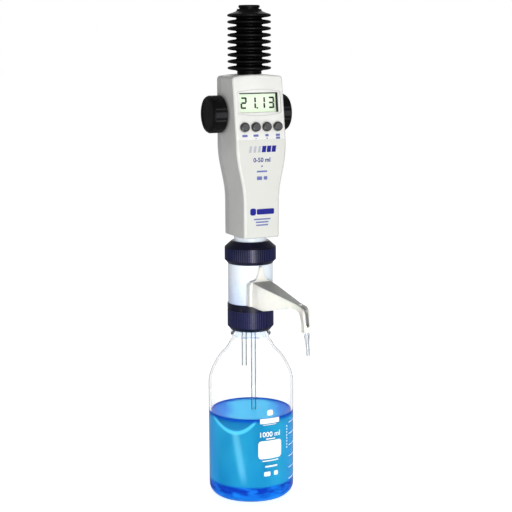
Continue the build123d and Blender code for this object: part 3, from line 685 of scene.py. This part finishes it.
def marks(name, outlines, place, look, body, thick=PRINT_THICK, columns=0):
    """One piece made of several thin marks. Each outline is (x, y, points)."""
    verts, faces = [], []
    for x, y, outline in outlines:
        moved = [(x + px, y + py) for px, py in outline]
        if columns:
            v, f = curved_slab(moved, place, thick, columns)
        else:
            v, f = flat_slab(moved, place, thick)
        faces += [tuple(i + len(verts) for i in face) for face in f]
        verts += v
    made = add_object(name, verts, faces, look)
    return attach(made, body)


def on_bottle(x, y, height):
    """Point on the glass: x is the arc length from the front, y the height above the bench."""
    angle = x / BOTTLE_R
    radius = BOTTLE_R + GLASS_GAP + height
    return (radius * sin(angle), -radius * cos(angle), y)


def on_front(x, y, height):
    """Point on the upright part of the head's front, y in millimetres above the bench."""
    return (x, FACE_Y - HOUSING_GAP - height, y)


def on_lean(z0, lift=HOUSING_GAP):
    """Placement on the leaning upper part of the head's front, about a height."""
    s, c = sin(radians(LEAN)), cos(radians(LEAN))
    y0 = FACE_Y + max(0.0, z0 - LEAN_Z) * tan(radians(LEAN))

    def place(x, y, height):
        out = lift + height
        return (x, y0 + y * s - out * c, z0 + y * c + out * s)
    return place


def lettering(name, text, size, place, x, y, look, body, bold):
    """Plain figures and units as thin solid marks; bold widens their strokes."""
    curve = bpy.data.curves.new(name, "FONT")
    curve.body = text
    curve.size = size
    curve.align_x = "CENTER"
    curve.align_y = "CENTER"
    curve.resolution_u = 3
    curve.offset = bold
    curve.extrude = PRINT_THICK / 2
    source = bpy.data.objects.new(name + "_source", curve)
    bpy.context.scene.collection.objects.link(source)
    mesh = bpy.data.meshes.new_from_object(source)
    bpy.data.objects.remove(source)
    for vertex in mesh.vertices:
        point = place(x + vertex.co.x, y + vertex.co.y, vertex.co.z + PRINT_THICK / 2)
        vertex.co = Vector(point) * MM
    mesh.materials.clear()
    mesh.materials.append(look.mat)
    mesh.name = name
    made = bpy.data.objects.new(name, mesh)
    bpy.context.scene.collection.objects.link(made)
    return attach(made, body)


# Bottle print. Each mark is placed by its distance round the glass and its height above the bench
patch = [bar(1.3, 66.4, 30.5, 21.8, 4.0, 6)]
marks("bottle_patch", patch, on_bottle, print_white, "bottle", columns=36)
lettering("bottle_capacity", "1000 ml", 8.6, on_bottle, 0.8, 84.6, print_white, "bottle",
          bold=0.16)
TICK_X = 44.5
TICK_LOW_Z = 23.8
TICK_PITCH = 13.8
ticks = [bar(TICK_X, TICK_LOW_Z + TICK_PITCH * i, 25.6, 1.0) for i in range(6)]
marks("bottle_scale", ticks, on_bottle, print_white, "bottle", columns=24)
badge = [bar(0.8, 110.8, 7.5, 7.0, 2.4, 4), bar(0.8, 101.0, 25, 6.0, 0.9, 3)]
text_lines = [bar(1.5, 79.4, 12, 1.3), bar(0.5, 96.5, 17, 0.8), bar(1.5, 52.9, 21, 1.4)]
text_lines += [bar(2.5, 46.0, 16, 2.0, 0.4)]
code_blocks = [bar(-3.0, 37.0, 8, 5.5, 1.2, 3), bar(8.5, 37.0, 5.5, 5.5, 1.2, 3)]
upright_line = [bar(27.3, 64.0 + 3.64 * i, 1.5, 2.2) for i in range(8)]
bottle_bars = badge + text_lines + code_blocks + upright_line
marks("bottle_bars", bottle_bars, on_bottle, print_white, "bottle", columns=12)

# Bars in place of the legends under the buttons, placed from the buttons' middle height
LEGEND_DROP = 9.6
SIGN_DROP = 13.0
button_xs = [(i - 1.5) * BUTTON_PITCH for i in range(4)]
minus_x, plus_x, reset_x = button_xs[1:]
legends = [bar(x, -LEGEND_DROP, width, 2.5) for x, width in zip(button_xs, (6.4, 6.2, 4.0, 5.2))]
legends += [bar(reset_x, 0.1 - SIGN_DROP, 5.2, 2.4), bar(minus_x, -SIGN_DROP, 1.9, 0.5, 0.1, 1)]
legends += [bar(plus_x, -SIGN_DROP, 1.9, 0.6, 0.1, 1), bar(plus_x, -SIGN_DROP, 0.6, 1.9, 0.1, 1)]
marks("head_legends", legends, on_lean(BUTTON_Z), print_soft, "head")

# Head print: bars in place of the names and small text, and the plain volume range
NAME_Z = 416.0
pale = [slanted(-14.5 + 5.6 * i, NAME_Z, -1.6, 1.2) for i in range(3)]
solid = [slanted(2.6 + 6.2 * i, NAME_Z, -2.9, 2.2) for i in range(3)]
marks("head_pale_bars", pale, on_front, print_pale, "head")
marks("head_blue_bars", solid, on_front, print_blue, "head")
lettering("head_range", "0-50 ml", 7.0, on_front, 0.0, 403.5, print_blue, "head", bold=0.19)
small = [bar(0, 396.5, 2.0, 2.0, 0.5), bar(0, 390.6, 13.0, 1.9, 0.4)]
small += [bar(-3.2, 383.0, 6.4, 4.2, 0.6), bar(4.4, 383.0, 4.4, 4.0, 0.6)]
small += [bar(0, 335.8 - 3.4 * i, width, 1.6) for i, width in enumerate((21, 16, 15))]
marks("head_small_bars", small, on_front, print_soft, "head")
maker = [bar(-11.4, 344.6, 7.4, 8.0, 2.4, 4), bar(4.2, 344.4, 22.0, 6.4, 1.4, 3)]
marks("head_maker_bars", maker, on_front, print_blue, "head")

# Dark frame round the display, with painted shadow: wide at the top and right, where the housing shades it
GLASS_DEPTH = 2.35
TOP_RIM = 1.2
RIGHT_RIM = 2.4
THIN_RIM = 0.3
rim = [bar(0, (LCD_H - TOP_RIM) / 2, LCD_W, TOP_RIM, 0.2),
       bar((LCD_W - RIGHT_RIM) / 2, 0, RIGHT_RIM, LCD_H, 0.2),
       bar(0, (THIN_RIM - LCD_H) / 2, LCD_W, THIN_RIM, 0.1, 1),
       bar((THIN_RIM - LCD_W) / 2, 0, THIN_RIM, LCD_H, 0.1, 1)]
marks("display_frame_and_shadow", rim, on_lean(LCD_Z, -GLASS_DEPTH), display_black, "head", thick=0.3)


# ---------------------------------------------------------------- stage, light and camera

def seen_directly(tree):
    """1 for rays from the camera, also through glass, and 0 for the rays that light the object."""
    path = tree.nodes.new("ShaderNodeLightPath")
    either = tree.nodes.new("ShaderNodeMath")
    either.operation = "MAXIMUM"
    tree.links.new(path.outputs["Is Camera Ray"], either.inputs[0])
    tree.links.new(path.outputs["Is Transmission Ray"], either.inputs[1])
    return either.outputs[0]


def floor_paint():
    """Pale floor that glows to the camera alone, so that it blends into the background."""
    made = Shader("floor", srgb(232, 233, 234), 0.8, Emission_Color=(1, 1, 1, 1))
    made.vary(srgb(229, 230, 231), 3.0)
    glow = made.ramp(seen_directly(made.tree), 0, 1, 0.0, 0.80)
    made.link(glow, made.bsdf.inputs["Emission Strength"])
    return made


def studio_world(to_object, to_camera):
    """Even white surroundings, with one strength for the object's light and one for the camera."""
    world = bpy.data.worlds.new("studio")
    world.use_nodes = True
    tree = world.node_tree
    background = tree.nodes["Background"]
    background.inputs["Color"].default_value = (1, 1, 1, 1)
    level = tree.nodes.new("ShaderNodeMapRange")
    level.inputs["To Min"].default_value = to_object
    level.inputs["To Max"].default_value = to_camera
    tree.links.new(seen_directly(tree), level.inputs["Value"])
    tree.links.new(level.outputs["Result"], background.inputs["Strength"])
    return world


FLOOR_REACH = 20000
floor_corners = [(sx * FLOOR_REACH, sy * FLOOR_REACH, 0) for sx, sy in ((-1, -1), (1, -1), (1, 1), (-1, 1))]
floor = add_object("floor", floor_corners, [(0, 1, 2, 3)], floor_paint())
floor.location.z = -0.2 * MM

bpy.context.scene.world = studio_world(0.25, 1.0)
bpy.context.scene.view_settings.view_transform = "Standard"


def area_light(name, place, aim, size, power):
    """Square lamp at a place in metres, turned towards a point."""
    data = bpy.data.lights.new(name, "AREA")
    data.size = size
    data.energy = power
    lamp = bpy.data.objects.new(name, data)
    lamp.location = place
    lamp.rotation_euler = (Vector(aim) - Vector(place)).to_track_quat("-Z", "Y").to_euler()
    bpy.context.scene.collection.objects.link(lamp)
    return lamp


area_light("key", place=(-0.45, -1.9, 0.22), aim=(0, 0, 0.35), size=0.5, power=28)
area_light("back_fill", place=(0.8, 1.6, 1.1), aim=(0, 0, 0.3), size=1.2, power=6)

# A narrow beam on the side of the nozzle arm
arm_fill = area_light("arm_fill", place=(-1.1, -0.35, 0.22), aim=(0, -0.09, 0.245), size=0.12, power=0.03)
arm_fill.data.spread = radians(7)

azimuth, elevation = radians(VIEW_AZIMUTH), radians(VIEW_ELEVATION)
towards = Vector((sin(azimuth) * cos(elevation), -cos(azimuth) * cos(elevation), sin(elevation)))
right = Vector((cos(azimuth), sin(azimuth), 0))
aim = Vector((0, 0, AIM_Z)) + right * AIM_SHIFT
camera = bpy.data.objects.new("camera", bpy.data.cameras.new("camera"))
camera.data.lens = LENS
camera.location = aim + towards * VIEW_DISTANCE
turn = (-towards).to_track_quat("-Z", "Y").to_matrix()
camera.rotation_euler = (turn @ Matrix.Rotation(radians(VIEW_ROLL), 3, "Z")).to_euler()
bpy.context.scene.collection.objects.link(camera)
bpy.context.scene.camera = camera
